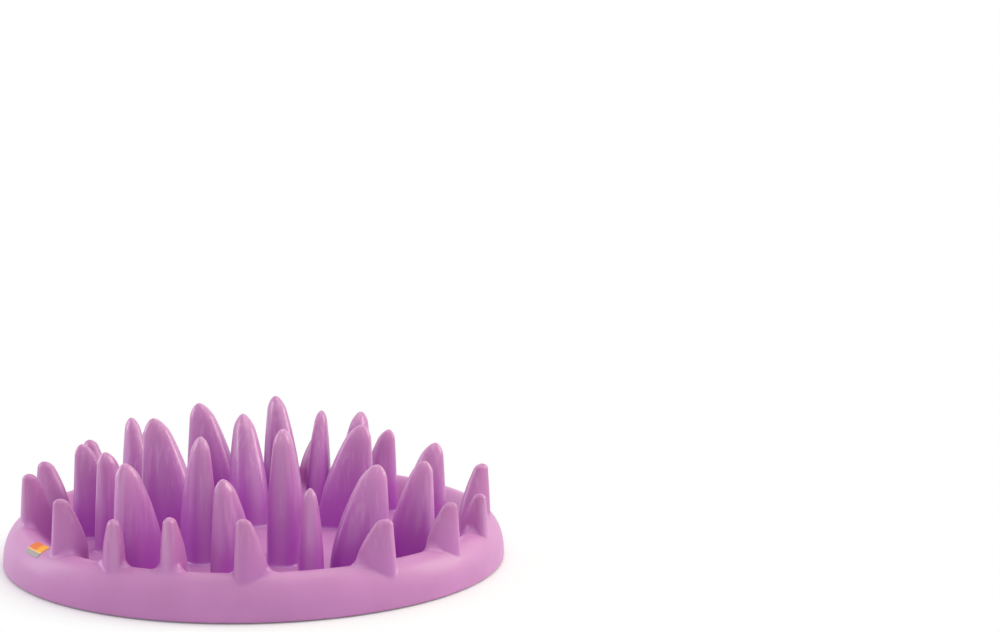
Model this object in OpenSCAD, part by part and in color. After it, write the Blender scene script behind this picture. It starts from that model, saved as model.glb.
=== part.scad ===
// Slow feeder bowl: a round dish with a raised rim and a field of upright blades.
// The origin is on the table, under the middle of the dish. All lengths are in millimetres.

/* [Dish] */
// Outside diameter of the rim at its lower edge
bowl_d = 320; // [310:1:370]
// Height of the rim's crest above the lower edge
rim_h = 25.5; // [23:0.5:30]
// Width of the rounded rim, from the outside to the crest
rim_w = 14; // [12:0.5:16]
// Width of the curved slope from the crest down to the floor
slope_w = 24; // [20:0.5:28]
// Height of the floor above the lower edge
floor_h = 8; // [6:0.5:10]
// Height of the straight band round the lower edge
band_h = 3; // [2:0.5:4]
// Wall of the moulding
wall_t = 2.4; // [2:0.1:3]

/* [Blades] */
// Height of the tallest blade above the floor
blade_h = 85; // [60:1:95]
// Length of the longest blade along its foot
blade_l = 43; // [36:1:45]
// Height of the tallest rim blade above the crest
rim_blade_h = 35; // [25:1:42]
// Length of the longest rim blade along its foot
rim_blade_l = 26; // [20:0.5:28]
// Thickness of a blade at its foot as a share of its length there
thick_share = 0.58; // [0.5:0.02:0.62]
// Thickness of a blade at its tip as a share of its length there
tip_thick_share = 0.74; // [0.6:0.02:0.9]
// How far the steep edge leans in towards the tip, as a share of half the length
draft_share = 0.18; // [0.1:0.02:0.26]
// Share of its length that a floor blade loses on the way up
narrow_share = 0.7; // [0.6:0.01:0.74]
// Share of its length that a rim blade loses on the way up
rim_narrow_share = 0.65; // [0.55:0.01:0.7]
// Power of the curve by which a floor blade narrows
narrow_power = 1.65; // [1.4:0.05:2]
// Power of the curve by which a rim blade narrows
rim_narrow_power = 1.4; // [1.2:0.05:1.8]
// Height of a floor blade's round tip as a share of half the length
tip_share = 0.5; // [0.3:0.02:0.6]
// Height of a rim blade's round tip as a share of half the length
rim_tip_share = 0.28; // [0.2:0.02:0.4]
// Power that squares the blade's section: 2 is an ellipse
corner_power = 2.3; // [2:0.1:3]

/* [Feet] */
// Diameter of a rubber foot
foot_d = 11; // [9:0.5:13]
// Thickness of a rubber foot
foot_t = 3; // [2.5:0.1:3.6]
// How far a foot stands out below the lower edge
foot_stand = 0.8; // [0.5:0.1:1.2]
// Wall of the cup that holds a foot
cup_t = 1.6; // [1.2:0.1:2]
// Number of feet
foot_count = 4; // [3:1:4]

/* [Label] */
// Length of the blank label along the rim
label_l = 18; // [10:1:22]
// Thickness of the label
label_t = 0.4; // [0.3:0.1:0.6]

/* [Hidden] */
// Places of the blades. Each row holds the angle round the dish in degrees, the distance from
// the middle as a share of the crest's radius, the height and the length as shares of the
// tallest and the longest, and the turn of the steep edge away from straight out, in degrees.
inner_shares = [
    [29, 0.465, 0.81, 0.9, -34],
    [96, 0.37, 0.84, 0.98, 12],
    [172, 0.385, 0.93, 0.96, -12],
    [230, 0.39, 0.93, 0.85, 56],
    [289, 0.38, 1, 0.92, -32],
];
middle_shares = [
    [4, 0.74, 0.71, 0.8, 14],
    [42, 0.765, 0.67, 0.65, -36],
    [56, 0.83, 0.75, 0.8, 0],
    [66.5, 0.735, 0.77, 0.63, 4],
    [79, 0.625, 0.91, 0.88, 36],
    [95, 0.8, 0.6, 0.66, 0],
    [108, 0.665, 0.86, 0.95, 42],
    [129, 0.76, 0.55, 0.66, 10],
    [153, 0.6, 0.86, 0.71, -32],
    [169, 0.73, 0.72, 0.69, 18],
    [188, 0.615, 0.745, 0.73, 36],
    [229.5, 0.745, 0.83, 0.81, -14],
    [262, 0.71, 0.76, 0.77, -33],
    [287.5, 0.72, 0.68, 0.62, -22],
    [305.5, 0.735, 0.79, 0.88, 56],
    [326.5, 0.78, 0.755, 0.73, 19],
];
rim_shares = [
    [73.5, 0.98, 0.68, 0.9, -30],
    [85, 0.98, 0.8, 0.84, -10],
    [104, 0.98, 0.85, 0.84, 15],
    [121, 0.98, 0.9, 0.84, 0],
    [140.5, 0.975, 0.9, 0.96, -12],
    [166, 0.94, 0.83, 0.98, -22],
    [186.5, 0.95, 0.94, 0.85, 30],
    [218, 0.965, 0.92, 0.85, -30],
    [234.5, 0.98, 0.785, 0.89, 41],
    [249.5, 0.945, 0.88, 0.85, -2],
    [268.5, 1.005, 0.93, 0.8, -65],
    [298, 1.005, 0.755, 0.92, 53],
    [319.5, 1.005, 0.775, 0.82, 52],
    [338, 1, 0.68, 0.75, -24],
    [353.5, 0.965, 0.955, 0.86, 35],
];
// Middle of the label and of the first foot round the dish, in degrees
label_angle = 209;
foot_angle = 25;
// Distance of the feet from the middle, as a share of the crest's radius
foot_ring_share = 0.86;
// One overrun for every cut
over = 1;
// Steps along each half of the rim, and the steps that the label covers below the crest
skin_steps = 7;
label_steps = 3;
// Sides and levels of a blade's outside and of the hollow inside it
out_sides = 20;
out_rings = 9;
in_sides = 10;
in_rings = 5;
$fn = 96;

crest_r = bowl_d / 2 - rim_w;
base_z = foot_stand;
floor_z = base_z + floor_h;
crest_z = base_z + rim_h;
bulge_h = rim_h - band_h;
rise_h = rim_h - floor_h;
foot_ring_r = foot_ring_share * crest_r;

// The rim outside the crest is a quarter of an ellipse. Angle t runs from the band to the
// crest, and the point lies the distance off outside the skin, square to it.
function rim_point(t, off) =
    let (n = [cos(t) / rim_w, sin(t) / bulge_h])
    [crest_r + rim_w * cos(t), base_z + band_h + bulge_h * sin(t)] + off * n / norm(n);

// The slope inside the crest is half a wave of a cosine. Share s runs from the crest to the floor.
function slope_point(s, off) =
    let (n = [-rise_h * PI / 2 * sin(180 * s), slope_w])
    [crest_r - slope_w * s, floor_z + rise_h * (1 + cos(180 * s)) / 2] + off * n / norm(n);

// The whole skin of the dish from the band to the floor, moved outwards by off.
function skin(off) = concat(
    [for (i = [0:skin_steps]) rim_point(90 * i / skin_steps, off)],
    [for (i = [1:skin_steps]) slope_point(i / skin_steps, off)]);

function turned_back(list) = [for (i = [len(list) - 1:-1:0]) list[i]];

// Levels of a blade crowd together towards the tip.
function level(i, n) = 1 - pow(1 - i / n, 2);

function squared(v) = sign(v) * pow(abs(v), 2 / corner_power);

// One section of blade b at share u of its height h, with length l and thickness t at the foot.
// It narrows by a power of u and closes to a round tip, and its steep edge stays almost upright.
function section(b, l, t, h, u, sides) =
    let (
        w = 1 - b[6] * pow(u, b[7]),
        cap = b[8] * l / 2 / h,
        closed = u > 1 - cap ? sqrt(1 - pow((u - 1 + cap) / cap, 2)) : 1,
        thick = 1 + (tip_thick_share / thick_share - 1) * u,
        mid = l / 2 * (1 - draft_share * u - w))
    [for (i = [0:sides - 1])
        let (a = 360 * i / sides)
        [mid + l / 2 * w * closed * squared(cos(a)), t / 2 * w * thick * closed * squared(sin(a)), h * u]];

function lowered(list, d) = [for (p = list) [p[0], p[1], p[2] - d]];

// A closed blade shape: a straight skirt below the foot, then sections up to a round tip. The
// skirt ends a little below the foot, so that the dish never cuts the blade along an edge.
module blade_form(b, l, t, h, skirt, sides, rings) {
    foot = section(b, l, t, h, 0, sides);
    points = concat(
        lowered(foot, skirt),
        lowered(foot, over),
        [for (k = [1:rings - 1]) each section(b, l, t, h, level(k, rings), sides)],
        [[l / 2 * (b[6] - draft_share), 0, h]]);
    tip = len(points) - 1;
    last = rings * sides;
    faces = concat(
        [[for (i = [0:sides - 1]) i]],
        [for (k = [0:rings - 1]) for (i = [0:sides - 1])
            let (j = (i + 1) % sides)
            [k * sides + j, k * sides + i, (k + 1) * sides + i, (k + 1) * sides + j]],
        [for (i = [0:sides - 1]) [last + (i + 1) % sides, last + i, tip]]);
    polyhedron(points, faces);
}

// Everything under the skin of the dish, or under a surface sunk below it.
module dish_fill(sunk) {
    rotate_extrude()
        polygon(concat(
            [[0, base_z - over], [crest_r + rim_w - sunk, base_z - over]],
            skin(-sunk),
            [[0, floor_z - sunk]]));
}

// Sizes of one blade: [angle, distance, height, length, turn, foot level, then its narrowing,
// the power of that and its round tip].
function blade_sizes(row, h, l, z, form) =
    concat([row[0], row[1] * crest_r, row[2] * h, row[3] * l, row[4], z], form);
floor_form = [narrow_share, narrow_power, tip_share];
rim_form = [rim_narrow_share, rim_narrow_power, rim_tip_share];
inner_blades = [for (row = inner_shares) blade_sizes(row, blade_h, blade_l, floor_z, floor_form)];
middle_blades = [for (row = middle_shares) blade_sizes(row, blade_h, blade_l, floor_z, floor_form)];
rim_blades = [for (row = rim_shares) blade_sizes(row, rim_blade_h, rim_blade_l, crest_z, rim_form)];
all_blades = concat(inner_blades, middle_blades, rim_blades);

// Sizes of the hollow inside a blade, one wall smaller all round.
function hollow_l(b) = b[3] - 2 * wall_t;
function hollow_t(b) = b[3] * thick_share - 2 * wall_t;
function hollow_h(b) = b[2] - 2 * wall_t;

module at_blade(b) {
    rotate(b[0])
        translate([b[1], 0, b[5]])
            rotate(b[4])
                children();
}

// The hollow inside one blade, which runs down through the dish.
module blade_hollow(b) {
    at_blade(b)
        blade_form(b, hollow_l(b), hollow_t(b), hollow_h(b), b[5] + over, in_sides, in_rings);
}

module blade(b) {
    difference() {
        at_blade(b)
            blade_form(b, b[3], b[3] * thick_share, b[2], b[5] - base_z, out_sides, out_rings);
        blade_hollow(b);
        dish_fill(0);
    }
}

// The hole in the dish under one blade, with the outline of the blade's hollow.
module blade_hole(b) {
    at_blade(b)
        translate([0, 0, -b[5] - over])
            linear_extrude(b[5] + 2 * over)
                polygon([for (p = section(b, hollow_l(b), hollow_t(b), hollow_h(b), 0, in_sides))
                    [p[0], p[1]]]);
}

module at_foot(k) {
    rotate(foot_angle + 360 * k / foot_count)
        translate([foot_ring_r, 0, 0])
            children();
}

module dish() {
    color("#c98bc4")
        difference() {
            union() {
                rotate_extrude()
                    polygon(concat(
                        [[crest_r + rim_w - wall_t, base_z], [crest_r + rim_w, base_z]],
                        skin(0),
                        [[0, floor_z], [0, floor_z - wall_t]],
                        turned_back(skin(-wall_t))));
                intersection() {
                    for (k = [0:foot_count - 1])
                        at_foot(k)
                            translate([0, 0, base_z])
                                cylinder(h = rim_h, d = foot_d + 2 * cup_t);
                    dish_fill(wall_t / 2);
                }
            }
            for (k = [0:foot_count - 1])
                at_foot(k)
                    translate([0, 0, base_z - over])
                        cylinder(h = foot_t - foot_stand + over, d = foot_d);
            for (b = all_blades)
                blade_hole(b);
        }
}

module blade_piece(b) {
    color("#b878b8")
        blade(b);
}

module foot(k) {
    color("#5f5a63")
        at_foot(k)
            cylinder(h = foot_t, d = foot_d);
}

// A blank label that lies on the rim just outside the crest.
module rim_label() {
    first = skin_steps - label_steps;
    turn = label_l / crest_r * 180 / PI;
    under = [for (i = [first:skin_steps]) rim_point(90 * i / skin_steps, 0)];
    top = [for (i = [first:skin_steps]) rim_point(90 * i / skin_steps, label_t)];
    color("#e8b04a")
        rotate(label_angle - turn / 2)
            rotate_extrude(angle = turn)
                polygon(concat(under, turned_back(top)));
}

inner_names = [for (k = [1:len(inner_shares)]) str("blade_inner_", k)];
middle_names = [for (k = [1:len(middle_shares)]) str("blade_middle_", k)];
rim_names = [for (k = [1:len(rim_shares)]) str("blade_rim_", k)];
foot_names = [for (k = [1:foot_count]) str("rubber_foot_", k)];
blade_names = concat(inner_names, middle_names, rim_names);

dish();
rim_label();
for (k = [0:len(blade_names) - 1])
    blade_piece(all_blades[k]);
for (k = [0:foot_count - 1])
    foot(k);
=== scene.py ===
import bpy
import bmesh
import math
import numpy as np
from mathutils import Euler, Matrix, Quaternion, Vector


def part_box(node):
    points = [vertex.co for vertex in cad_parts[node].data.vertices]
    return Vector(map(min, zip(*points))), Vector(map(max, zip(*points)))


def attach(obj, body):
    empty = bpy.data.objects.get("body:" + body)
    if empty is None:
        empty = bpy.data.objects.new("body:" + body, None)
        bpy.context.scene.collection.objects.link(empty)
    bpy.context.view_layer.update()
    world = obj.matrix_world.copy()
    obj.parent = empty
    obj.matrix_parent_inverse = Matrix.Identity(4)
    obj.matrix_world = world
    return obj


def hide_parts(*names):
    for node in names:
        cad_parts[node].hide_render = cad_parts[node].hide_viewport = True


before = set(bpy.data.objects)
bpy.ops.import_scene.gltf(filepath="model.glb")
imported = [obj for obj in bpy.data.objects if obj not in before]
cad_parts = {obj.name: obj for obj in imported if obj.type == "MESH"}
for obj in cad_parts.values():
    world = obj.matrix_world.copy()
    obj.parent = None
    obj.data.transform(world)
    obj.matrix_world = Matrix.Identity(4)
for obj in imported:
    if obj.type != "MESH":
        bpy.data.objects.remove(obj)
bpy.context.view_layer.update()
mm = 0.001
print("frame loaded:", len(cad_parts), "nodes")


# camera first, fitted to the photograph

camera = {
    "back": 1232.6 * mm,        # from the middle of the dish, along -Y
    "height": 320.7 * mm,
    "down": 7.63,               # degrees below level
    "right": 7.27,              # degrees turned to the right of the dish
    "roll": 0.54,
    "focalPixels": 1931.6,
    "framePixels": 1000,
    "sensor": 36.0,
    "clipEnd": 50,
}


def makeCamera(c):
    data = bpy.data.cameras.new("camera")
    data.sensor_width = c["sensor"]
    data.lens = c["focalPixels"] * c["sensor"] / c["framePixels"]
    data.clip_end = c["clipEnd"]
    cam = bpy.data.objects.new("camera", data)
    bpy.context.collection.objects.link(cam)
    cam.location = (0, -c["back"], c["height"])
    cam.rotation_mode = "QUATERNION"
    # roll about the camera's own axis first, then tilt down, then turn right
    level = Euler((math.radians(90 - c["down"]), 0, math.radians(-c["right"])), "XYZ")
    cam.rotation_quaternion = level.to_quaternion() @ Quaternion((0, 0, 1), math.radians(c["roll"]))
    bpy.context.scene.camera = cam


makeCamera(camera)


# mesh helpers

def newPiece(name, points, faces, smooth=True):
    mesh = bpy.data.meshes.new(name)
    mesh.from_pydata(points.tolist(), [], faces)
    mesh.validate()
    mesh.polygons.foreach_set("use_smooth", np.full(len(mesh.polygons), smooth))
    mesh.update()
    piece = bpy.data.objects.new(name, mesh)
    bpy.context.collection.objects.link(piece)
    return piece


def gridFaces(rows, around):
    # quads between neighbouring rows of a closed grid, row r and column c being point r * around + c
    r, c = np.meshgrid(np.arange(rows - 1), np.arange(around), indexing="ij")
    nextC = (c + 1) % around
    quads = np.stack([r * around + c, r * around + nextC,
                      (r + 1) * around + nextC, (r + 1) * around + c], -1)
    return quads.reshape(-1, 4)


def closedGrid(grid, firstPole, lastPole):
    # a grid of rows x around points with one extra point closing each end
    rows, around = grid.shape[:2]
    points = np.vstack([grid.reshape(-1, 3), firstPole, lastPole])
    first = rows * around
    c = np.arange(around)
    nextC = (c + 1) % around
    top = np.stack([np.full(around, first), nextC, c], -1)
    bottom = np.stack([np.full(around, first + 1), (rows - 1) * around + c,
                       (rows - 1) * around + nextC], -1)
    return points, gridFaces(rows, around).tolist() + top.tolist() + bottom.tolist()


def ringRows(profile, cx, cy, around):
    # rows of radius and height carried round a vertical axis at cx, cy
    a = np.linspace(0, 2 * np.pi, around, endpoint=False)
    return np.stack([cx + profile[:, None, 0] * np.cos(a), cy + profile[:, None, 0] * np.sin(a),
                     np.repeat(profile[:, None, 1], around, 1)], -1)


def closedPiece(name, points, faces, smooth=True):
    # a piece without open edges, every face turned outwards
    piece = newPiece(name, points, faces, smooth)
    bm = bmesh.new()
    bm.from_mesh(piece.data)
    bmesh.ops.recalc_face_normals(bm, faces=bm.faces)
    bm.to_mesh(piece.data)
    bm.free()
    return piece


def cutWith(piece, cutter):
    # take the cutter out of the piece for good, then remove it
    cut = piece.modifiers.new("cut", "BOOLEAN")
    cut.operation = "DIFFERENCE"
    cut.solver = "EXACT"
    cut.object = cutter
    bpy.context.view_layer.update()
    cutMesh = bpy.data.meshes.new_from_object(piece.evaluated_get(bpy.context.evaluated_depsgraph_get()))
    piece.modifiers.clear()
    old = piece.data
    piece.data = cutMesh
    cutMesh.name = old.name
    bpy.data.meshes.remove(old)
    bpy.data.objects.remove(cutter)


def setShares(piece, **shares):
    # values from 0 to 1 kept on the piece's points, for its material
    for name, values in shares.items():
        piece.data.attributes.new(name, "FLOAT", "POINT").data.foreach_set("value", values)


def own(piece, node):
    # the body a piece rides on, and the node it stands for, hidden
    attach(piece, "root")
    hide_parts(node)


# the dish: rim, slope and floor as one turned profile

dishLow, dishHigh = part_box("dish")
dish = {
    "outerR": (dishHigh.x - dishLow.x) / 2,
    "baseZ": dishLow.z,
    "crestZ": dishHigh.z,
    "rimW": 14 * mm,            # from the crest out to the edge
    "slopeW": 24 * mm,          # from the crest in to the floor
    "floorH": 8 * mm,           # top of the floor above the lower edge
    "bandH": 3 * mm,            # upright band below the bulge of the rim
    "wall": 2.4 * mm,
    "edgeR": 0.9 * mm,          # rounding of the lower edge
    "sharp": 38,                # degrees past which an edge stays sharp
    "around": 300,
    "floorSteps": 34,
    "slopeSteps": 24,
    "rimSteps": 34,
    "edgeSteps": 6,
    "underSteps": 18,
    "readRim": 90,              # points of the curves that heights are read from
    "readSlope": 60,
    "readTo": 0.99,             # share of the rim's width past which the skin is read as level
}
dish["crestR"] = dish["outerR"] - dish["rimW"]
dish["floorR"] = dish["crestR"] - dish["slopeW"]
dish["floorZ"] = dish["baseZ"] + dish["floorH"]
dish["bulgeH"] = dish["crestZ"] - dish["baseZ"] - dish["bandH"]
dish["riseH"] = dish["crestZ"] - dish["floorZ"]


def rimCurve(t, off):
    # outside of the rim: a quarter ellipse from the band (t = 0) to the crest (t = 90 degrees),
    # moved off outwards along its normal
    n = np.stack([np.cos(t) / dish["rimW"], np.sin(t) / dish["bulgeH"]], -1)
    n /= np.linalg.norm(n, axis=-1, keepdims=True)
    p = np.stack([dish["crestR"] + dish["rimW"] * np.cos(t),
                  dish["baseZ"] + dish["bandH"] + dish["bulgeH"] * np.sin(t)], -1)
    return p + off * n


def slopeCurve(s, off):
    # inside of the rim: half a cosine wave from the crest (s = 0) to the floor (s = 1)
    n = np.stack([-dish["riseH"] * np.pi / 2 * np.sin(np.pi * s), np.full_like(s, dish["slopeW"])], -1)
    n /= np.linalg.norm(n, axis=-1, keepdims=True)
    p = np.stack([dish["crestR"] - dish["slopeW"] * s,
                  dish["floorZ"] + dish["riseH"] * (1 + np.cos(np.pi * s)) / 2], -1)
    return p + off * n


def skinHeight(x, y):
    # height of the dish's upper skin over a point of the plan: the cosine wave inside the crest,
    # the quarter ellipse outside it
    r = np.hypot(x, y)
    s = np.clip((dish["crestR"] - r) / dish["slopeW"], 0, 1)
    inner = dish["floorZ"] + dish["riseH"] * (1 + np.cos(np.pi * s)) / 2
    q = np.clip((r - dish["crestR"]) / dish["rimW"], 0, dish["readTo"])
    outer = dish["baseZ"] + dish["bandH"] + dish["bulgeH"] * np.sqrt(1 - q * q)
    return np.where(r < dish["crestR"], inner, outer)


def underHeight(x, y):
    # height of the underside over a point of the plan, read off the profile sunk by the wall
    t = np.linspace(0, np.pi / 2, dish["readRim"])
    s = np.linspace(0, 1, dish["readSlope"])
    curve = np.vstack([rimCurve(t, -dish["wall"]), slopeCurve(s, -dish["wall"])])
    order = np.argsort(curve[:, 0])
    return np.interp(np.hypot(x, y), curve[order, 0], curve[order, 1])


def makeDishProfile():
    # from the middle of the floor, up the slope, over the rim, round the lower edge and back below
    floorR = np.linspace(0, dish["floorR"], dish["floorSteps"])[1:-1]
    s = np.linspace(1, 0, dish["slopeSteps"])
    t = np.linspace(np.pi / 2, 0, dish["rimSteps"])[1:]
    top = np.vstack([np.stack([floorR, np.full_like(floorR, dish["floorZ"])], -1),
                     slopeCurve(s, 0), rimCurve(t, 0)])
    e = dish["edgeR"]
    a = np.linspace(0, np.pi / 2, dish["edgeSteps"])
    edgeOut = np.stack([dish["outerR"] - e + e * np.cos(a), dish["baseZ"] + e - e * np.sin(a)], -1)
    edgeIn = np.stack([dish["outerR"] - dish["wall"] + e * (1 - np.sin(a)),
                       dish["baseZ"] + e * (1 - np.cos(a))], -1)
    low = np.vstack([rimCurve(t[::-1], -dish["wall"]), slopeCurve(s[::-1], -dish["wall"])])
    underR = np.linspace(low[-1, 0], 0, dish["underSteps"])[1:-1]
    under = np.stack([underR, np.full_like(underR, dish["floorZ"] - dish["wall"])], -1)
    return np.vstack([top, edgeOut, edgeIn, low, under])


def makeDish():
    # the profile carried round the Z axis, closed in the middle of the floor above and below
    grid = ringRows(makeDishProfile(), 0, 0, dish["around"])
    points, faces = closedGrid(grid, [[0, 0, dish["floorZ"]]],
                               [[0, 0, dish["floorZ"] - dish["wall"]]])
    return closedPiece("dishShell", points, faces)


dishPiece = makeDish()
print("dish turned:", len(dishPiece.data.polygons), "faces")


# the blades: places as [angle, share of the crest's radius, share of height, share of length, turn]

blades = {
    "height": {"floor": 85 * mm, "rim": 35 * mm},
    "length": {"floor": 43 * mm, "rim": 26 * mm},
    "thickShare": 0.58,         # thickness over length at the foot
    "tipThickShare": 0.74,      # and at the tip
    "draft": 0.18,              # how far the steep edge leans in
    "corner": 2.3,              # 2 is an ellipse, more is squarer
    "narrow": {"floor": 0.7, "rim": 0.65},
    "power": {"floor": 1.65, "rim": 1.4},
    "tip": {"floor": 0.5, "rim": 0.28},
    "fillet": 2.4 * mm,         # round at the foot of the blades on the floor
    "rimFilletAt": np.array([-10, -3, 0.5, 4.5]) * mm,   # places from the crest outwards
    "rimFillet": np.array([2.4, 6.2, 5.2, 0.9]) * mm,    # round of the rim's blades there
    "apron": {"floor": 2.4 * mm, "rim": 1.5 * mm},   # thin edge that sinks into the dish's skin
    "apronSink": np.array([-0.05, -0.15, -0.4]) * mm,
    "mouth": 0.8 * mm,          # rounding of the hollow's mouth below
    "mouthApron": 1.3 * mm,     # and its own thin edge, sunk upwards into the dish
    "mouthSink": np.array([0.1, 0.3, 0.6]) * mm,
    "around": 72,
    "outerRows": (12, 22, 6),   # rows in the tip, in the wall and in the round at its foot
    "innerRows": (7, 12, 4),
    "edgePower": 12,            # the higher, the narrower the light along the narrow edges
    "runOutFrom": 0.1,          # share of the dish's colour where the round begins
    "passes": 8,                # to find where a wall meets the dish
    "inner": [
        [29, 0.465, 0.81, 0.9, -34],
        [96, 0.37, 0.84, 0.98, 12],
        [172, 0.385, 0.93, 0.96, -12],
        [230, 0.39, 0.93, 0.85, 56],
        [289, 0.38, 1, 0.92, -32],
    ],
    "middle": [
        [4, 0.74, 0.71, 0.8, 14],
        [42, 0.765, 0.67, 0.65, -36],
        [56, 0.83, 0.75, 0.8, 0],
        [66.5, 0.735, 0.77, 0.63, 4],
        [79, 0.625, 0.91, 0.88, 36],
        [95, 0.8, 0.6, 0.66, 0],
        [108, 0.665, 0.86, 0.95, 42],
        [129, 0.76, 0.55, 0.66, 10],
        [153, 0.6, 0.86, 0.71, -32],
        [169, 0.73, 0.72, 0.69, 18],
        [188, 0.615, 0.745, 0.73, 36],
        [229.5, 0.745, 0.83, 0.81, -14],
        [262, 0.71, 0.76, 0.77, -33],
        [287.5, 0.72, 0.68, 0.62, -22],
        [305.5, 0.735, 0.79, 0.88, 56],
        [326.5, 0.78, 0.755, 0.73, 19],
    ],
    "rim": [
        [73.5, 0.98, 0.68, 0.9, -30],
        [85, 0.98, 0.8, 0.84, -10],
        [104, 0.98, 0.85, 0.84, 15],
        [121, 0.98, 0.9, 0.84, 0],
        [140.5, 0.975, 0.9, 0.96, -12],
        [166, 0.94, 0.83, 0.98, -22],
        [186.5, 0.95, 0.94, 0.85, 30],
        [218, 0.965, 0.92, 0.85, -30],
        [234.5, 0.98, 0.785, 0.89, 41],
        [249.5, 0.945, 0.88, 0.85, -2],
        [268.5, 1.005, 0.93, 0.8, -65],
        [298, 1.005, 0.755, 0.92, 53],
        [319.5, 1.005, 0.775, 0.82, 52],
        [338, 1, 0.68, 0.75, -24],
        [353.5, 0.965, 0.955, 0.86, 35],
    ],
}


def bladeSizes(row, kind):
    # real sizes of one row, l and t being half the length and half the thickness at the foot
    angle, share, height, length, turn = row
    halfL = blades["length"][kind] * length / 2
    return {
        "angle": math.radians(angle),
        "r": share * dish["crestR"],
        "turn": math.radians(turn),
        "z": dish["crestZ"] if kind == "rim" else dish["floorZ"],
        "h": height * blades["height"][kind],
        "l": halfL,
        "t": halfL * blades["thickShare"],
        "narrow": blades["narrow"][kind],
        "power": blades["power"][kind],
        "tip": blades["tip"][kind],
    }


def hollowOf(b):
    # the same blade, one wall smaller all round and two walls lower
    wall = dish["wall"]
    return {**b, "l": b["l"] - wall, "t": b["t"] - wall, "h": b["h"] - 2 * wall}


def placed(x, y, b):
    # from a blade's own plan, long axis along x, to the dish's plan
    u = x * math.cos(b["turn"]) - y * math.sin(b["turn"]) + b["r"]
    v = x * math.sin(b["turn"]) + y * math.cos(b["turn"])
    return (u * math.cos(b["angle"]) - v * math.sin(b["angle"]),
            u * math.sin(b["angle"]) + v * math.cos(b["angle"]))


def bladeRing(b, u, a, closed=1.0, off=0.0):
    # Outline of a blade at share u of its height, moved off outwards along its normal. The
    # width is 1 - narrow * u ** power, the thickness share goes evenly from foot to tip, the
    # steep edge leans in by draft * u, and the outline is a superellipse of power corner.
    p = blades["corner"]
    u = np.clip(u, 0, None)
    w = 1 - b["narrow"] * u ** b["power"]
    thick = 1 + (blades["tipThickShare"] / blades["thickShare"] - 1) * u
    halfL = b["l"] * w * closed
    halfT = b["t"] * w * thick * closed
    c, s = np.cos(a), np.sin(a)
    n = np.stack(np.broadcast_arrays(np.sign(c) * np.abs(c) ** (2 - 2 / p) / halfL,
                                     np.sign(s) * np.abs(s) ** (2 - 2 / p) / halfT))
    n = n / np.linalg.norm(n, axis=0)
    x = b["l"] * (1 - blades["draft"] * u - w) + halfL * np.sign(c) * np.abs(c) ** (2 / p)
    y = halfT * np.sign(s) * np.abs(s) ** (2 / p)
    return placed(x + off * n[0], y + off * n[1], b)


def meets(b, a, surface):
    # share of the height at which the wall meets a surface, closer with every pass
    u = np.zeros_like(a)
    for step in range(blades["passes"]):
        x, y = bladeRing(b, u, a)
        u = (surface(x, y) - b["z"]) / b["h"]
    return u


def tipOf(b):
    # the one point that closes the rows at the top
    x, y = placed(b["l"] * (b["narrow"] - blades["draft"]), 0, b)
    return [[x, y, b["z"] + b["h"]]]


def wallRows(b, a, foot, capRows, rows):
    # From the tip down. In the round tip the level is 1 - cap + cap * sin(f) and the outline is
    # cos(f) wide, below it the levels are even down to the share foot, which varies round it.
    cap = b["tip"] * b["l"] / b["h"]
    f = np.linspace(np.pi / 2, 0, capRows + 1)[1:, None]
    k = np.linspace(0, 1, rows + 1)[1:, None]
    u = np.vstack([1 - cap + cap * np.sin(f) + 0 * a, (1 - cap) * (1 - k) + foot[None] * k])
    closed = np.vstack([np.cos(f) + 0 * a, np.ones((rows, len(a)))])
    x, y = bladeRing(b, u, a[None], closed)
    return np.stack([x, y, b["z"] + b["h"] * u], -1)


def footRows(b, a, foot, surface, radius, flange, lifts, rows):
    # A quarter round from the wall onto the surface, its radius given for each column, then a
    # thin flange that sinks into the dish.
    f = np.linspace(0, np.pi / 2, rows + 1)[1:, None]
    flat = np.linspace(0, flange, len(lifts) + 1)[1:, None]
    offs = np.vstack([radius * (1 - np.cos(f)), radius + flat])
    lifts = np.vstack([radius * (1 - np.sin(f)), lifts[:, None] + 0 * radius])
    x, y = bladeRing(b, foot + np.clip(lifts, 0, None) / b["h"], a[None], 1.0, offs)
    return np.stack([x, y, surface(x, y) + lifts], -1)


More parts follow.
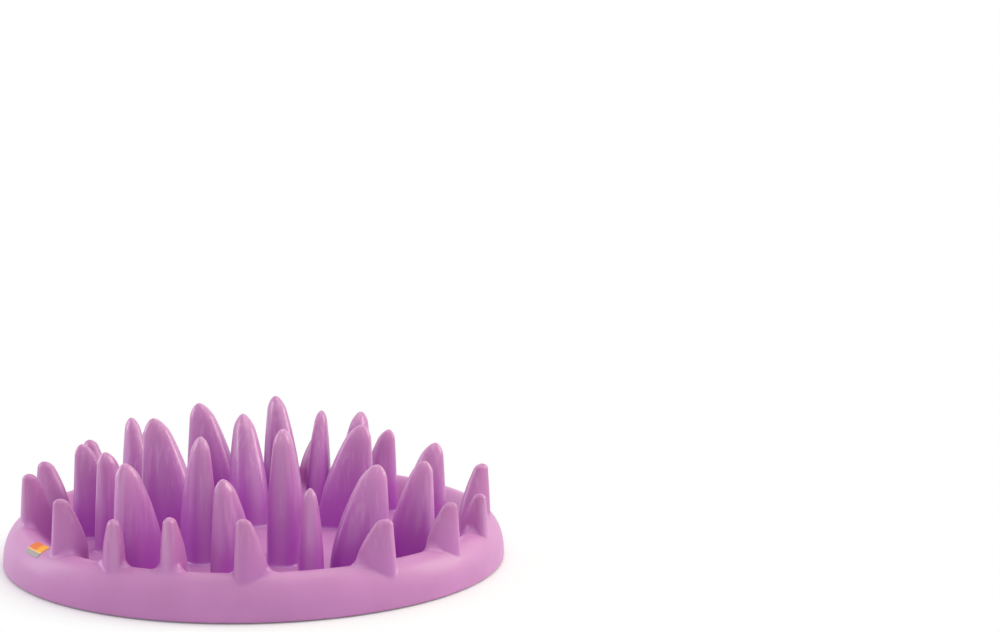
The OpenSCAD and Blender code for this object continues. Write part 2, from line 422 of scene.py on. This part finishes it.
def makeBlade(name, row, kind):
    # One closed grid of rows: down the outside from the tip, out over the round foot into the
    # dish, back through the dish's wall to the mouth below, and up the inside of the hollow.
    b = bladeSizes(row, kind)
    a = np.linspace(0, 2 * np.pi, blades["around"], endpoint=False)
    tipRows, rows, roundRows = blades["outerRows"]
    foot = meets(b, a, skinHeight)
    radius = blades["fillet"] + 0 * a
    if kind == "rim":
        # wide on the crest beside the blade, crisp on the outside of the rim
        x, y = bladeRing(b, foot, a)
        away = np.hypot(x, y) - dish["crestR"]
        radius = np.interp(away, blades["rimFilletAt"], blades["rimFillet"])
    outer = wallRows(b, a, foot + radius / b["h"], tipRows, rows)
    outerFoot = footRows(b, a, foot, skinHeight, radius, blades["apron"][kind],
                         blades["apronSink"], roundRows)
    # the hollow inside, one wall smaller, open through the dish below
    hollow = hollowOf(b)
    mouth = blades["mouth"] + 0 * a
    tipRows, rows, roundRows = blades["innerRows"]
    innerFoot = meets(hollow, a, underHeight)
    inner = wallRows(hollow, a, innerFoot + mouth / hollow["h"], tipRows, rows)[::-1]
    mouthRows = footRows(hollow, a, innerFoot, underHeight, mouth, blades["mouthApron"],
                         blades["mouthSink"], roundRows)[::-1]
    # one row inside the dish's wall joins the two
    x, y = outerFoot[-1, :, 0], outerFoot[-1, :, 1]
    middle = np.stack([x, y, (skinHeight(x, y) + underHeight(x, y)) / 2], -1)[None]
    grid = np.vstack([outer, outerFoot, middle, mouthRows, inner])
    points, faces = closedGrid(grid, tipOf(b), tipOf(hollow))
    piece = closedPiece(name, points, faces)
    # For the plastic's painted shade and highlights: how far up the blade a point lies, how near it
    # is to one of the two narrow edges, and how far it has run out from the wall into the dish.
    rise = np.clip((points[:, 2] - b["z"]) / b["h"], 0, 1)
    edge = np.append(np.tile(np.abs(np.cos(a)) ** blades["edgePower"], len(grid)), [0.5, 0.5])
    runOut = np.concatenate([np.zeros(len(outer)),
                             np.linspace(blades["runOutFrom"], 1, len(outerFoot)),
                             np.ones(len(grid) - len(outer) - len(outerFoot))])
    runOut = np.append(np.repeat(runOut, len(a)), [0, 1])
    setShares(piece, plasticRise=rise, bladeEdge=edge, bladeRunOut=runOut)
    return piece


bladePieces = []
hollows = []
for ring, kind in (("inner", "floor"), ("middle", "floor"), ("rim", "rim")):
    for number, row in enumerate(blades[ring], 1):
        piece = makeBlade(f"bladeSkin_{ring}_{number}", row, kind)
        own(piece, f"blade_{ring}_{number}")
        bladePieces.append(piece)
        hollows.append(hollowOf(bladeSizes(row, kind)))
print("blades made:", len(bladePieces), "of", len(bladePieces[0].data.polygons), "faces")


# the holes in the dish under the hollow blades

holes = {
    "wider": 0.85 * mm,         # than the foot of the hollow, all round
    "low": -5 * mm,
    "height": 45 * mm,
    "around": 48,
}


def makeHoleCutter():
    # one prism per blade, its outline the foot of the hollow moved outwards, all in one mesh
    around = holes["around"]
    a = np.linspace(0, 2 * np.pi, around, endpoint=False)
    points, faces = [], []
    for hollow in hollows:
        x, y = bladeRing(hollow, 0.0 * a, a, 1.0, holes["wider"])
        low = np.stack([x, y, np.full_like(x, holes["low"])], -1)
        start = len(points) * around
        points += [low, low + [0, 0, holes["height"]]]
        faces += (gridFaces(2, around) + start).tolist()
        faces += [list(range(start + around - 1, start - 1, -1)),
                  list(range(start + around, start + 2 * around))]
    return closedPiece("holeCutter", np.vstack(points), faces, smooth=False)


cutWith(dishPiece, makeHoleCutter())
print("dish cut:", len(dishPiece.data.polygons), "faces")


# cups under the dish and the rubber feet in them

feet = {
    "d": 11 * mm,
    "t": 3 * mm,
    "ringR": 0.86 * dish["crestR"],
    "angles": [25, 115, 205, 295],
    "around": 64,
    "edge": 0.5 * mm,           # roundings of the puck below and above
    "topEdge": 0.3 * mm,
    "sideGap": 0.08 * mm,       # taken off the radius, so that it slips into the bore
    # underside of the puck as [share of its radius, height in mm]: dimple, grip ring, groove
    "under": [[0.12, 0.32], [0.3, 0.3], [0.42, 0.22], [0.5, 0.04], [0.56, 0], [0.62, 0.03],
              [0.68, 0.1], [0.74, 0.03], [0.8, 0]],
    "dimple": 0.32 * mm,        # height of the middle of the underside
    "topFlat": 0.5,             # share of the radius at the inner row of the top
    "roundSteps": 6,
}

cupShape = {
    "t": 1.6 * mm,
    "sideGap": 0.05 * mm,       # bore over the foot's nominal size
    "topGap": 0.02 * mm,
    "boreRows": (0.3, 0.7, 0.97),   # shares of the bore's radius for rows on its bottom
    "boreEdge": 0.15 * mm,
    "lip": 0.35 * mm,
    "fillet": 1.2 * mm,         # onto the underside of the dish
    "apron": np.array([0.5, 1.0]) * mm,
    "apronSink": np.array([-0.1, -0.4]) * mm,
    "coverShare": 0.5,          # cover inside the dish's wall: its radius over the cup's
    "coverRise": 1.2 * mm,
    "roundSteps": 5,
}


def makeCup(cx, cy):
    # A profile carried round: bottom of the bore, wall of the bore and rounded lip. Then the
    # outside, a quarter round onto the underside of the dish, and a cover hidden in its wall.
    c = cupShape
    boreR, boreZ = feet["d"] / 2 + c["sideGap"], feet["t"] + c["topGap"]
    outR, low, lip, fillet = feet["d"] / 2 + c["t"], dish["baseZ"], c["lip"], c["fillet"]
    f = np.linspace(0, np.pi / 2, c["roundSteps"])
    profile = np.vstack([
        [[boreR * k, boreZ] for k in c["boreRows"]],
        [[boreR, boreZ - c["boreEdge"]], [boreR, low + lip]],
        np.stack([boreR + lip * (1 - np.cos(f)), low + lip * (1 - np.sin(f))], -1),
        np.stack([outR - lip * (1 - np.sin(f)), low + lip * (1 - np.cos(f))], -1),
    ])
    rows = ringRows(profile, cx, cy, feet["around"])
    a = np.linspace(0, 2 * np.pi, feet["around"], endpoint=False)
    offs = np.concatenate([fillet * (1 - np.cos(f)), fillet + c["apron"]])
    drops = np.concatenate([fillet * (1 - np.sin(f)), c["apronSink"]])
    x = cx + (outR + offs[:, None]) * np.cos(a)
    y = cy + (outR + offs[:, None]) * np.sin(a)
    root = np.stack([x, y, underHeight(x, y) - drops[:, None]], -1)
    coverR, rise = c["coverShare"] * outR, c["coverRise"]
    x, y = cx + coverR * np.cos(a), cy + coverR * np.sin(a)
    cover = np.stack([x, y, underHeight(x, y) + rise], -1)[None]
    points, faces = closedGrid(np.vstack([rows, root, cover]), [[cx, cy, boreZ]],
                               [[cx, cy, underHeight(cx, cy) + rise]])
    return closedPiece("cup", points, faces)


def makeFoot(name, cx, cy):
    # a puck: its underside, a quarter round, its side, a smaller quarter round and its flat top,
    # carried round its own middle
    r, t = feet["d"] / 2 - feet["sideGap"], feet["t"]
    f = np.linspace(0, np.pi / 2, feet["roundSteps"])
    e, top = feet["edge"], feet["topEdge"]
    profile = np.vstack([
        np.array(feet["under"]) * [r, mm],
        np.stack([r - e + e * np.sin(f), e - e * np.cos(f)], -1),
        np.stack([r - top + top * np.cos(f), t - top + top * np.sin(f)], -1),
        [[feet["topFlat"] * r, t]],
    ])
    grid = ringRows(profile, cx, cy, feet["around"])
    points, faces = closedGrid(grid, [[cx, cy, feet["dimple"]]], [[cx, cy, t]])
    return closedPiece(name, points, faces)


footPieces = []
cups = []
for number, angle in enumerate(feet["angles"], 1):
    cx = feet["ringR"] * math.cos(math.radians(angle))
    cy = feet["ringR"] * math.sin(math.radians(angle))
    cups.append(makeCup(cx, cy))
    footPieces.append(makeFoot(f"footPuck_{number}", cx, cy))
    own(footPieces[-1], f"rubber_foot_{number}")


def joinInto(piece, parts, sharp):
    # the parts' faces become part of the piece's mesh, with edges over the angle left sharp
    bm = bmesh.new()
    for mesh in [piece.data] + [p.data for p in parts]:
        bm.from_mesh(mesh)
    bm.to_mesh(piece.data)
    bm.free()
    for p in parts:
        bpy.data.objects.remove(p)
    piece.data.set_sharp_from_angle(angle=math.radians(sharp))


joinInto(dishPiece, cups, dish["sharp"])
# share of the dish's rise, which drives its painted shade by height
dishPoints = np.empty(len(dishPiece.data.vertices) * 3)
dishPiece.data.vertices.foreach_get("co", dishPoints)
setShares(dishPiece, plasticRise=np.clip((dishPoints[2::3] - dish["floorZ"]) / dish["riseH"], 0, 1))
own(dishPiece, "dish")
print("feet made:", len(footPieces))


# the blank label on the rim

label = {
    "length": 18 * mm,
    "t": 0.4 * mm,
    "angle": 209,               # degrees round the dish
    "from": 4 / 7,              # share of the rim's curve below it, the rest up to the crest
    "corner": 1.6 * mm,
    "square": 9,                # the higher, the straighter the sides
    "around": 120,
    "readRim": 200,             # points of the rim's curve that heights are read from
    "back": [0.8, 0.4, 0.004],  # rows on the skin, then rows on top: share inwards and lift
    "front": [0, 0.01, 0.03, 0.06, 0.1, 0.3, 0.55, 0.8],
    "lift": [0.25, 0.7, 0.92, 1, 1, 1, 1, 1],
}


def makeLabel():
    # A rounded rectangle laid over the rim's curve. Rows go inwards from the outline to the
    # middle, so that the border can be rounded down to the skin.
    arc = label["length"] / dish["crestR"]
    t = np.linspace(np.pi / 2 * label["from"], np.pi / 2, label["readRim"])
    run = rimCurve(t, 0)
    length = np.concatenate([[0], np.cumsum(np.hypot(*np.diff(run, axis=0).T))])
    halfL, halfW = label["length"] / 2, length[-1] / 2
    a = np.linspace(0, 2 * np.pi, label["around"], endpoint=False)
    c = label["corner"]
    # the outline: a circle of the corner's radius pushed out to the four corners
    ux = np.clip(np.cos(a) * label["square"], -1, 1) * (halfL - c) + c * np.cos(a)
    vy = np.clip(np.sin(a) * label["square"], -1, 1) * (halfW - c) + c * np.sin(a)

    def onRim(x, y, up):
        # a point of the flat label laid on the rim: x goes round it, y up its curve
        p = rimCurve(np.interp(y + halfW, length, t), up)
        turn = math.radians(label["angle"]) + x / halfL * arc / 2
        return np.stack([p[:, 0] * np.cos(turn), p[:, 0] * np.sin(turn), p[:, 1]], -1)

    shares = 1 - np.array(label["back"] + label["front"])[:, None]
    lift = np.array([0] * len(label["back"]) + label["lift"]) * label["t"]
    grid = np.array([onRim(ux * share, vy * share, up) for share, up in zip(shares, lift)])
    middle = np.zeros(1)
    points, faces = closedGrid(grid, onRim(middle, middle, 0), onRim(middle, middle, label["t"]))
    piece = closedPiece("labelFilm", points, faces)
    # how far along and across the label a point lies, 0 to 1, for its plain bands
    setShares(piece, labelAlong=np.append((ux * shares).ravel() / halfL / 2 + 0.5, [0.5, 0.5]),
              labelAcross=np.append((vy * shares).ravel() / halfW / 2 + 0.5, [0.5, 0.5]))
    return piece


labelPiece = makeLabel()
own(labelPiece, "rim_label")
print("label made")


# materials, from Object coordinates and the shares kept on the points

def newMaterial(name):
    mat = bpy.data.materials.new(name)
    mat.use_nodes = True
    return mat, mat.node_tree, mat.node_tree.nodes["Principled BSDF"]


def addNode(tree, kind, settings=None, **values):
    # one node with its settings, and constants put on its sockets by name
    node = tree.nodes.new(kind)
    for key, value in (settings or {}).items():
        setattr(node, key, value)
    for key, value in values.items():
        node.inputs[key.replace("_", " ")].default_value = value
    return node


def feed(tree, node, values):
    # each socket gets a constant or a link
    for slot, value in values.items():
        if isinstance(value, (int, float, tuple)):
            node.inputs[slot].default_value = value
        else:
            tree.links.new(value, node.inputs[slot])


def mathNode(tree, operation, *values):
    node = addNode(tree, "ShaderNodeMath", {"operation": operation})
    feed(tree, node, dict(enumerate(values)))
    return node.outputs[0]


def ramp(tree, value, fromMin, fromMax, toMin=0.0, toMax=1.0, smooth=True):
    node = addNode(tree, "ShaderNodeMapRange",
                   {"interpolation_type": "SMOOTHSTEP" if smooth else "LINEAR"},
                   From_Min=fromMin, From_Max=fromMax, To_Min=toMin, To_Max=toMax)
    tree.links.new(value, node.inputs["Value"])
    return node.outputs["Result"]


def mixColor(tree, factor, first, second, blend="MIX"):
    node = addNode(tree, "ShaderNodeMix", {"data_type": "RGBA", "blend_type": blend})
    feed(tree, node, {0: factor, 6: first, 7: second})
    return node.outputs[2]


def addBump(tree, bsdf, height, strength, distance):
    bump = addNode(tree, "ShaderNodeBump", Strength=strength, Distance=distance)
    tree.links.new(height, bump.inputs["Height"])
    tree.links.new(bump.outputs[0], bsdf.inputs["Normal"])


def noiseNode(tree, vector, stretch, scale, detail=2.0, distort=0.0):
    mapping = addNode(tree, "ShaderNodeMapping", Scale=stretch)
    tree.links.new(vector, mapping.inputs["Vector"])
    noise = addNode(tree, "ShaderNodeTexNoise", Scale=scale, Detail=detail, Roughness=0.5,
                    Distortion=distort)
    tree.links.new(mapping.outputs[0], noise.inputs["Vector"])
    return noise.outputs["Fac"]


def newGroup(name, inputs, outputs):
    group = bpy.data.node_groups.new(name, "ShaderNodeTree")
    for label, kind, value in inputs:
        socket = group.interface.new_socket(label, in_out="INPUT", socket_type=kind)
        if value is not None:
            socket.default_value = value
    for label, kind in outputs:
        group.interface.new_socket(label, in_out="OUTPUT", socket_type=kind)
    return group, group.nodes.new("NodeGroupInput"), group.nodes.new("NodeGroupOutput")


skinGrain = {
    "peel": 620,                # scales of the noises, and how they are stretched
    "flow": 360,
    "flowStretch": (1, 1, 0.05),
    "scratch": 1500,
    "scratchStretch": (1, 1, 0.25),
    "scratchBend": 0.4,
    "blotch": 34,
    "scratchOver": (0.66, 0.72),    # parts of a noise that count
    "rareOver": (0.5, 0.68),
    "streakOver": (0.5, 0.7),
}


def makeMouldedSkin():
    # Fine orange peel, upright flow lines and hair scratches of a moulded plastic part. Height is
    # peel * Peel + flow * Flow - marks, and the marks are scratches * blotches * Scratches.
    g = skinGrain
    group, source, sink = newGroup(
        "mouldedSkin",
        [("Vector", "NodeSocketVector", None), ("Peel", "NodeSocketFloat", 0.3),
         ("Flow", "NodeSocketFloat", 0.3), ("Scratches", "NodeSocketFloat", 0.2)],
        [("Height", "NodeSocketFloat"), ("Wear", "NodeSocketFloat"), ("Mottle", "NodeSocketFloat"),
         ("HighlightStreak", "NodeSocketFloat")])
    vector = source.outputs["Vector"]
    peel = noiseNode(group, vector, (1, 1, 1), g["peel"])
    flow = noiseNode(group, vector, g["flowStretch"], g["flow"])
    scratchBed = noiseNode(group, vector, g["scratchStretch"], g["scratch"],
                           distort=g["scratchBend"])
    scratches = ramp(group, scratchBed, *g["scratchOver"])
    blotch = noiseNode(group, vector, (1, 1, 1), g["blotch"], 3.0)
    rare = ramp(group, blotch, *g["rareOver"])
    marks = mathNode(group, "MULTIPLY", mathNode(group, "MULTIPLY", scratches, rare),
                     source.outputs["Scratches"])
    height = mathNode(group, "MULTIPLY", peel, source.outputs["Peel"])
    height = mathNode(group, "MULTIPLY_ADD", flow, source.outputs["Flow"], height)
    height = mathNode(group, "SUBTRACT", height, marks)
    group.links.new(height, sink.inputs["Height"])
    group.links.new(marks, sink.inputs["Wear"])
    group.links.new(blotch, sink.inputs["Mottle"])
    # the upper parts of the flow lines, given out for painted highlight streaks
    group.links.new(ramp(group, flow, *g["streakOver"]), sink.inputs["HighlightStreak"])
    return group


def makePaintedRiseShade():
    # painted shade by the share of a blade's height, or of the dish's: a darker, more saturated colour
    # at Low, where shade falls between the blades, and a lighter one at High
    group, source, sink = newGroup(
        "paintedRiseShade",
        [("Rise", "NodeSocketFloat", 0.0), ("Deep", "NodeSocketColor", None),
         ("Pale", "NodeSocketColor", None), ("Low", "NodeSocketFloat", 0.0),
         ("High", "NodeSocketFloat", 1.0)],
        [("Color", "NodeSocketColor")])
    share = addNode(group, "ShaderNodeMapRange")
    group.links.new(source.outputs["Rise"], share.inputs["Value"])
    group.links.new(source.outputs["Low"], share.inputs["From Min"])
    group.links.new(source.outputs["High"], share.inputs["From Max"])
    color = mixColor(group, share.outputs["Result"], source.outputs["Deep"], source.outputs["Pale"])
    group.links.new(color, sink.inputs["Color"])
    return group


mouldedSkin = makeMouldedSkin()
paintedRiseShade = makePaintedRiseShade()

# the two colours at low and high, as shares of the height of a blade or of the dish, paint shade low
# down between the blades and light towards the tips and the crest
plastics = {
    "blade": {
        "shadedLow": (0.475, 0.10, 0.55, 1), "litHigh": (0.57, 0.22, 0.485, 1),
        "low": 0.12, "high": 0.98, "rough": 0.32, "coat": 0.3,
        "paintedStreak": 0.3, "edge": 0.3, "runOut": (0.55, 0.215, 0.50, 1),
    },
    "rimBlade": {
        "shadedLow": (0.52, 0.175, 0.49, 1), "litHigh": (0.52, 0.185, 0.44, 1),
        "low": 0.0, "high": 0.9, "rough": 0.38, "coat": 0.2,
        "paintedStreak": 0.2, "edge": 0.32, "runOut": (0.57, 0.23, 0.51, 1),
    },
    "dish": {
        "shadedLow": (0.55, 0.215, 0.50, 1), "litHigh": (0.58, 0.235, 0.51, 1),
        "low": 0.0, "high": 1.0, "rough": 0.45, "coat": 0.1,
        "paintedStreak": 0.0, "edge": 0.0, "runOut": (0.55, 0.215, 0.50, 1),
    },
    # painted highlight colour for the blades' narrow edges and for the streaks on their upper part
    "edgeLight": (0.72, 0.42, 0.66, 1),
    "grain": {"Peel": 0.25, "Flow": 0.4, "Scratches": 0.5},
    "streakFrom": (0.25, 0.7),  # shares of the height between which the streaks come in
    "mottleOver": (0.35, 0.65),
    "mottle": (0.96, 1.03),     # darkest and lightest blotch, times the colour
    "wornRough": 0.3,
    "bump": 0.6,
    "peelHeight": 0.02 * mm,
    "surface": {"Coat Roughness": 0.16, "Subsurface Weight": 0.12,
                "Subsurface Radius": (1.0, 0.35, 0.9), "Subsurface Scale": 4 * mm},
}


def makePlastic(name, p):
    mat, tree, bsdf = newMaterial(name)
    coords = addNode(tree, "ShaderNodeTexCoord").outputs["Object"]
    skin = addNode(tree, "ShaderNodeGroup", {"node_tree": mouldedSkin}, **plastics["grain"])
    # painted shade and light by height: darker low down, lighter towards the top
    tint = addNode(tree, "ShaderNodeGroup", {"node_tree": paintedRiseShade}, Deep=p["shadedLow"],
                   Pale=p["litHigh"], Low=p["low"], High=p["high"])
    rise = addNode(tree, "ShaderNodeAttribute", {"attribute_name": "plasticRise"}).outputs["Fac"]
    tree.links.new(coords, skin.inputs["Vector"])
    tree.links.new(rise, tint.inputs["Rise"])
    # painted highlight: the narrow edges of a blade are painted lighter, standing in for light shining
    # through them, and its upper part gets painted streaks of glossy reflection
    edge = addNode(tree, "ShaderNodeAttribute", {"attribute_name": "bladeEdge"})
    lit = mathNode(tree, "MULTIPLY", edge.outputs["Fac"], p["edge"])
    upper = ramp(tree, rise, *plastics["streakFrom"])
    paintedStreak = mathNode(tree, "MULTIPLY", skin.outputs["HighlightStreak"], upper)
    lit = mathNode(tree, "MULTIPLY_ADD", paintedStreak, p["paintedStreak"], lit)
    color = mixColor(tree, lit, tint.outputs["Color"], plastics["edgeLight"])
    # and its foot runs out into the dish's colour there, painted shade included
    runOut = addNode(tree, "ShaderNodeAttribute", {"attribute_name": "bladeRunOut"})
    color = mixColor(tree, runOut.outputs["Fac"], color, p["runOut"])
    mottle = ramp(tree, skin.outputs["Mottle"], *plastics["mottleOver"], *plastics["mottle"], False)
    shade = addNode(tree, "ShaderNodeCombineColor")
    for slot in range(3):
        tree.links.new(mottle, shade.inputs[slot])
    color = mixColor(tree, 1.0, color, shade.outputs[0], "MULTIPLY")
    tree.links.new(color, bsdf.inputs["Base Color"])
    rough = mathNode(tree, "MULTIPLY_ADD", skin.outputs["Wear"], plastics["wornRough"], p["rough"])
    tree.links.new(rough, bsdf.inputs["Roughness"])
    addBump(tree, bsdf, skin.outputs["Height"], plastics["bump"], plastics["peelHeight"])
    feed(tree, bsdf, {"Coat Weight": p["coat"], **plastics["surface"]})
    return mat


bladePlastic = makePlastic("bladePlastic", plastics["blade"])
rimBladePlastic = makePlastic("rimBladePlastic", plastics["rimBlade"])
dishPlastic = makePlastic("dishPlastic", plastics["dish"])

rubberLook = {
    "clean": (0.018, 0.016, 0.02, 1),
    "dusty": (0.075, 0.07, 0.07, 1),
    "dust": 420,                # scales of the noises
    "grain": 1800,
    "dustOver": (0.5, 0.75),
    "rough": (0.62, 0.85),      # clean and dusty
    "bump": 0.7,
    "grainHeight": 0.05 * mm,
}


def makeRubber():
    look = rubberLook
    mat, tree, bsdf = newMaterial("footRubber")
    coords = addNode(tree, "ShaderNodeTexCoord").outputs["Object"]
    grain = noiseNode(tree, coords, (1, 1, 1), look["grain"], 3.0)
    dust = ramp(tree, noiseNode(tree, coords, (1, 1, 1), look["dust"], 4.0), *look["dustOver"])
    color = mixColor(tree, dust, look["clean"], look["dusty"])
    tree.links.new(color, bsdf.inputs["Base Color"])
    tree.links.new(ramp(tree, dust, 0, 1, *look["rough"], False), bsdf.inputs["Roughness"])
    addBump(tree, bsdf, grain, look["bump"], look["grainHeight"])
    return mat


labelLook = {
    "left": (0.80, 0.175, 0.02, 1),
    "right": (0.93, 0.42, 0.01, 1),
    "line": (0.95, 0.55, 0.18, 1),      # thin line above the grey band
    "band": (0.38, 0.33, 0.34, 1),      # along the lower edge
    "worn": (0.9, 0.72, 0.5, 1),
    "turnsAt": (0.5, 0.72),             # shares of the length where left goes over to right
    "lineTo": (0.36, 0.4),              # shares of the width where the line and the band end
    "bandTo": (0.29, 0.32),
    "weave": 900,
    "wornOver": (0.55, 0.75),
    "wornShare": 0.08,
    "weaveOver": (0.3, 0.7),
    "rough": (0.42, 0.56),
    "bump": 0.4,
    "weaveHeight": 0.03 * mm,
}


def makeLabelFilm():
    look = labelLook
    mat, tree, bsdf = newMaterial("labelFilm")
    coords = addNode(tree, "ShaderNodeTexCoord").outputs["Object"]
    along = addNode(tree, "ShaderNodeAttribute", {"attribute_name": "labelAlong"}).outputs["Fac"]
    across = addNode(tree, "ShaderNodeAttribute", {"attribute_name": "labelAcross"}).outputs["Fac"]
    weave = noiseNode(tree, coords, (1, 1, 1), look["weave"], 3.0)
    color = mixColor(tree, ramp(tree, along, *look["turnsAt"]), look["left"], look["right"])
    color = mixColor(tree, ramp(tree, across, *look["lineTo"]), look["line"], color)
    color = mixColor(tree, ramp(tree, across, *look["bandTo"]), look["band"], color)
    worn = ramp(tree, weave, *look["wornOver"], 0, look["wornShare"])
    color = mixColor(tree, worn, color, look["worn"])
    tree.links.new(color, bsdf.inputs["Base Color"])
    rough = ramp(tree, weave, *look["weaveOver"], *look["rough"], False)
    tree.links.new(rough, bsdf.inputs["Roughness"])
    addBump(tree, bsdf, weave, look["bump"], look["weaveHeight"])
    return mat


rubber = makeRubber()
labelFilm = makeLabelFilm()
for piece in bladePieces:
    piece.data.materials.append(rimBladePlastic if "rim" in piece.name else bladePlastic)
dishPiece.data.materials.append(dishPlastic)
labelPiece.data.materials.append(labelFilm)
for piece in footPieces:
    piece.data.materials.append(rubber)
print("materials made:", len(bpy.data.materials))


# white studio

studio = {
    "world": 0.67,              # light of the surroundings
    "white": 1.0,               # what the camera sees of them
    "floor": 8,                 # half its side
    "floorColor": (0.93, 0.92, 0.94, 1),
    "floorRough": 0.75,
    "floorGloss": 0.1,
    "fade": (0.148, 0.195),     # the floor turns plain white between these distances
    # lights: place, point aimed at, width and depth, watts, colour
    "overhead": [(0.2, 0.1, 1.5), (0, 0, 0), (1.4, 1.2), 7.2, (1, 0.99, 0.88)],
    "keyRight": [(1.4, 0.1, 0.75), (0, 0, 0.03), (0.6, 0.9), 9.6, (1, 1, 0.76)],
    "edgeLeft": [(-1.25, 0.45, 0.5), (0, 0, 0.03), (0.4, 0.8), 4, (1, 1, 1)],
}


def whiteSeen(tree):
    # 1 for what the camera sees of the studio, by itself or in gloss and through glass
    path = addNode(tree, "ShaderNodeLightPath")
    seen = mathNode(tree, "MAXIMUM", path.outputs["Is Camera Ray"], path.outputs["Is Glossy Ray"])
    return mathNode(tree, "MAXIMUM", seen, path.outputs["Is Transmission Ray"])


def makeFloor():
    # the studio's white ground, which keeps the shadow near the dish
    points = np.array([[-1, -1, 0], [1, -1, 0], [1, 1, 0], [-1, 1, 0]]) * float(studio["floor"])
    floor = newPiece("floor", points, [[0, 1, 2, 3]], smooth=False)
    mat, tree, bsdf = newMaterial("studioFloor")
    feed(tree, bsdf, {"Base Color": studio["floorColor"], "Roughness": studio["floorRough"],
                      "Specular IOR Level": studio["floorGloss"]})
    white = addNode(tree, "ShaderNodeEmission", Color=(1, 1, 1, 1), Strength=studio["white"])
    coords = addNode(tree, "ShaderNodeTexCoord").outputs["Object"]
    length = addNode(tree, "ShaderNodeVectorMath", {"operation": "LENGTH"})
    tree.links.new(coords, length.inputs[0])
    far = ramp(tree, length.outputs["Value"], *studio["fade"])
    seen = mathNode(tree, "MULTIPLY", far, whiteSeen(tree))
    mix = addNode(tree, "ShaderNodeMixShader")
    tree.links.new(seen, mix.inputs[0])
    tree.links.new(bsdf.outputs[0], mix.inputs[1])
    tree.links.new(white.outputs[0], mix.inputs[2])
    tree.links.new(mix.outputs[0], tree.nodes["Material Output"].inputs["Surface"])
    floor.data.materials.append(mat)


def makeWorld():
    # light of its own strength for the object, plain white where it is seen
    world = bpy.data.worlds.new("studio")
    bpy.context.scene.world = world
    world.use_nodes = True
    tree = world.node_tree
    light = tree.nodes["Background"]
    light.inputs["Color"].default_value = (1, 1, 1, 1)
    light.inputs["Strength"].default_value = studio["world"]
    seen = addNode(tree, "ShaderNodeBackground", Color=(1, 1, 1, 1), Strength=studio["white"])
    mix = addNode(tree, "ShaderNodeMixShader")
    tree.links.new(whiteSeen(tree), mix.inputs[0])
    tree.links.new(light.outputs[0], mix.inputs[1])
    tree.links.new(seen.outputs[0], mix.inputs[2])
    tree.links.new(mix.outputs[0], tree.nodes["World Output"].inputs["Surface"])


def makeLight(name):
    # an area light, turned about Z and then tipped so that it faces the point aimed at
    place, aim, (width, depth), watts, color = studio[name]
    data = bpy.data.lights.new(name, "AREA")
    data.shape = "RECTANGLE"
    data.size, data.size_y = width, depth
    data.energy = watts
    data.color = color
    lamp = bpy.data.objects.new(name, data)
    bpy.context.collection.objects.link(lamp)
    lamp.location = place
    toward = np.array(aim) - np.array(place)
    yaw = math.atan2(-toward[0], toward[1])
    pitch = math.atan2(np.hypot(toward[0], toward[1]), -toward[2])
    lamp.rotation_euler = (pitch, 0, yaw)


makeFloor()
makeWorld()
for name in ("overhead", "keyRight", "edgeLeft"):
    makeLight(name)
bpy.context.scene.view_settings.view_transform = "Standard"
print("studio made")
